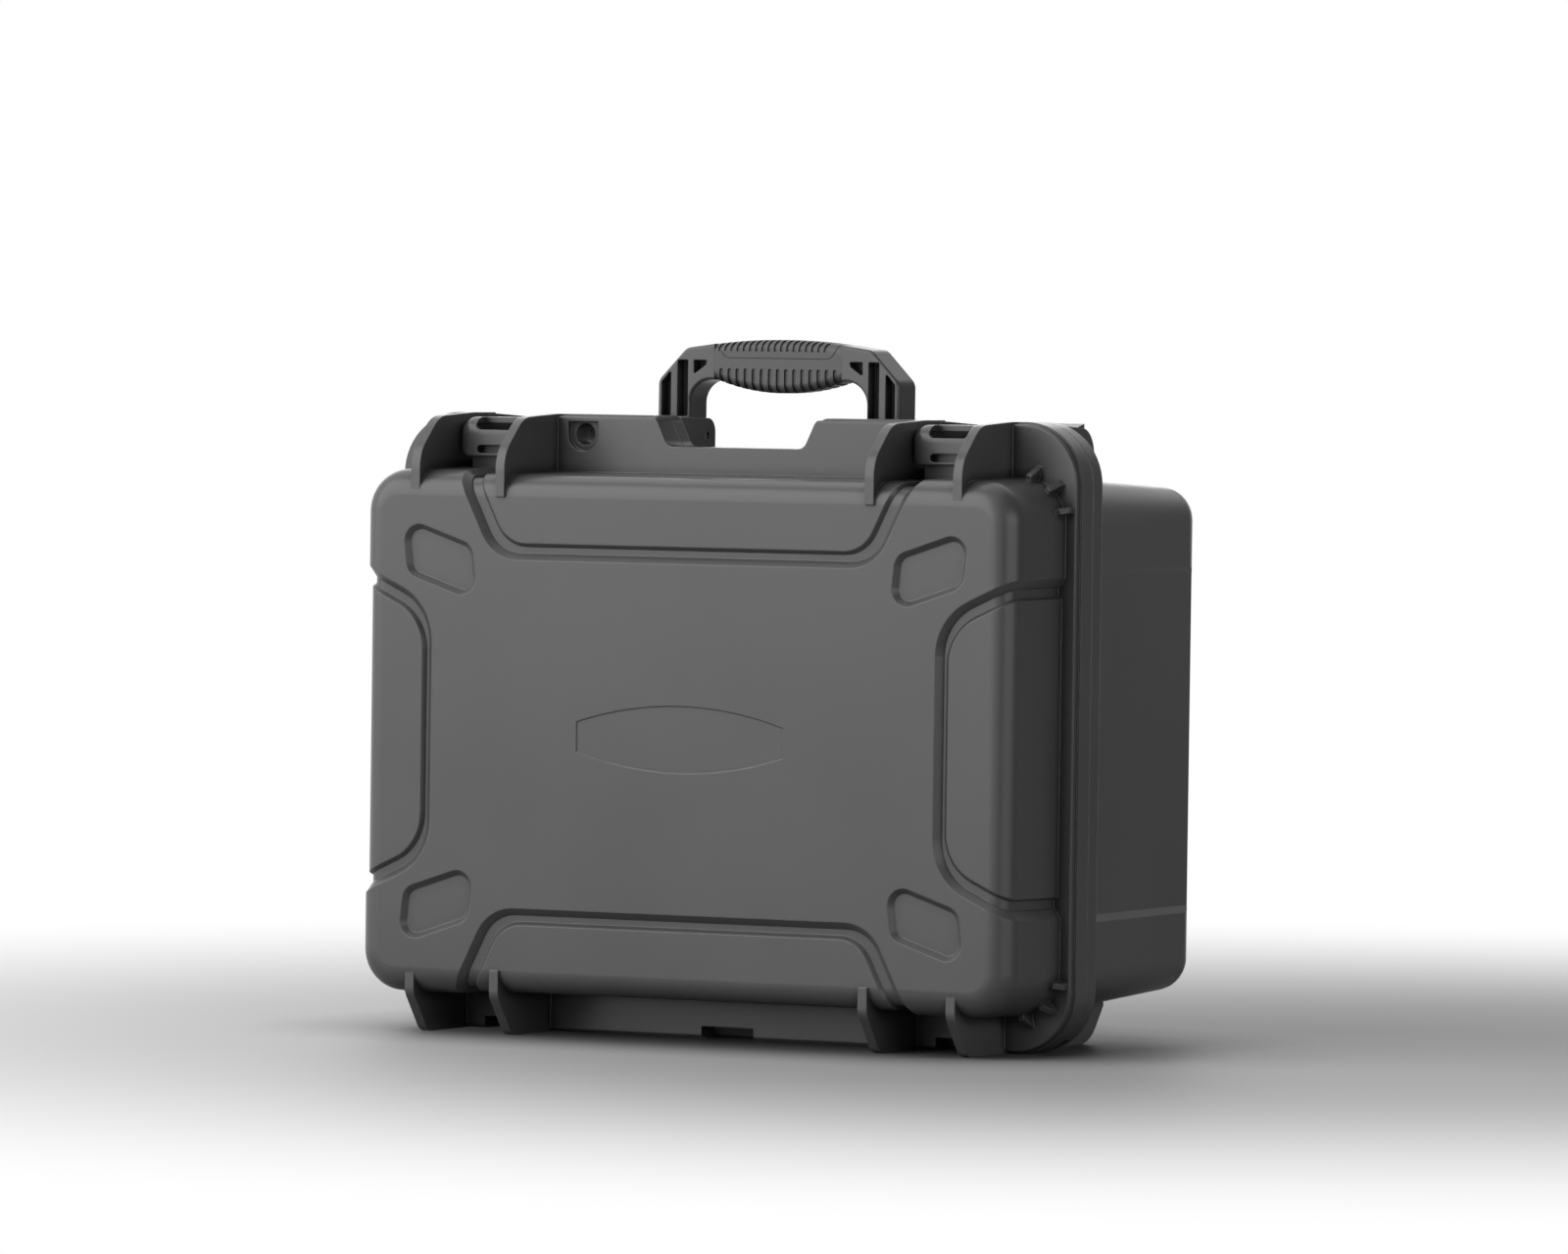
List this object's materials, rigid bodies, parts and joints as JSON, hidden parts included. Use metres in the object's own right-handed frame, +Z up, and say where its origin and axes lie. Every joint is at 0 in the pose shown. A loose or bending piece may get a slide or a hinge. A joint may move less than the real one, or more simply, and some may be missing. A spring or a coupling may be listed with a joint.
{
  "type": "protective case",
  "caption": "Hard plastic protective case with a hinged lid, over-centre latches, a folding carry handle, a seal and foam lining.",
  "frame": {"origin": "centre of the case's bounding box, on the surface that it stands on", "axes": "+Z up from the hinge side to the handle, +X across the width to the case's right as seen from the lid, the lid faces -Y"},
  "size_m": [0.422, 0.2382, 0.3845],
  "materials": {
    "shell": "fine moulded texture, dark grey",
    "handle": "moulded, dark grey",
    "latch": "moulded, dark grey",
    "hardware_plastic": "moulded, black",
    "grip": "soft overmoulded grip",
    "seal": "smooth rubber cord",
    "foam": "open-cell foam, cut flat",
    "pin": "plain steel pin"
  },
  "bodies": {
    "base": {"base_shell": "shell", "base_foam": "foam", "hinge_pin_left": "pin", "hinge_pin_middle": "pin", "hinge_pin_right": "pin", "latch_lever_pin_left": "pin", "latch_lever_pin_right": "pin", "handle_pin_left": "pin", "handle_pin_right": "pin", "valve_body": "hardware_plastic", "valve_washer": "seal"},
    "lid": {"lid_shell": "shell", "lid_seal": "seal", "lid_foam": "foam"},
    "lever_left": {"latch_lever_left": "latch", "latch_claw_pin_left": "pin"},
    "lever_right": {"latch_lever_right": "latch", "latch_claw_pin_right": "pin"},
    "claw_left": {"latch_claw_left": "latch"},
    "claw_right": {"latch_claw_right": "latch"},
    "handle": {"handle_frame": "handle", "handle_grip": "grip"},
    "knob": {"valve_knob": "hardware_plastic"}
  },
  "joints": [
    {"name": "lid_hinge", "type": "hinge", "parent": "base", "child": "lid", "pos_m": [0, -0.04145, 0.006], "axis": [1, 0, 0], "range_deg": [0, 100]},
    {"name": "lever_left_pivot", "type": "hinge", "parent": "base", "child": "lever_left", "pos_m": [-0.14125, -0.02545, 0.3235], "axis": [1, 0, 0], "range_deg": [0, 100]},
    {"name": "lever_right_pivot", "type": "hinge", "parent": "base", "child": "lever_right", "pos_m": [0.14125, -0.02545, 0.3235], "axis": [1, 0, 0], "range_deg": [0, 100]},
    {"name": "claw_left_pivot", "type": "hinge", "parent": "lever_left", "child": "claw_left", "pos_m": [-0.14125, -0.01045, 0.331], "axis": [1, 0, 0], "range_deg": [-131, 0]},
    {"name": "claw_right_pivot", "type": "hinge", "parent": "lever_right", "child": "claw_right", "pos_m": [0.14125, -0.01045, 0.331], "axis": [1, 0, 0], "range_deg": [-131, 0]},
    {"name": "handle_pivot", "type": "hinge", "parent": "base", "child": "handle", "pos_m": [0, -0.00105, 0.3309], "axis": [-1, 0, 0], "range_deg": [0, 90]},
    {"name": "valve_turn", "type": "hinge", "parent": "base", "child": "knob", "pos_m": [0, -0.00745, 0.3185], "axis": [0, 0, 1], "range_deg": [0, 180]}
  ],
  "couplings": [
    {"joint": "claw_left_pivot", "follows": "lever_left_pivot", "ratio": -1.3},
    {"joint": "claw_right_pivot", "follows": "lever_right_pivot", "ratio": -1.3}
  ]
}
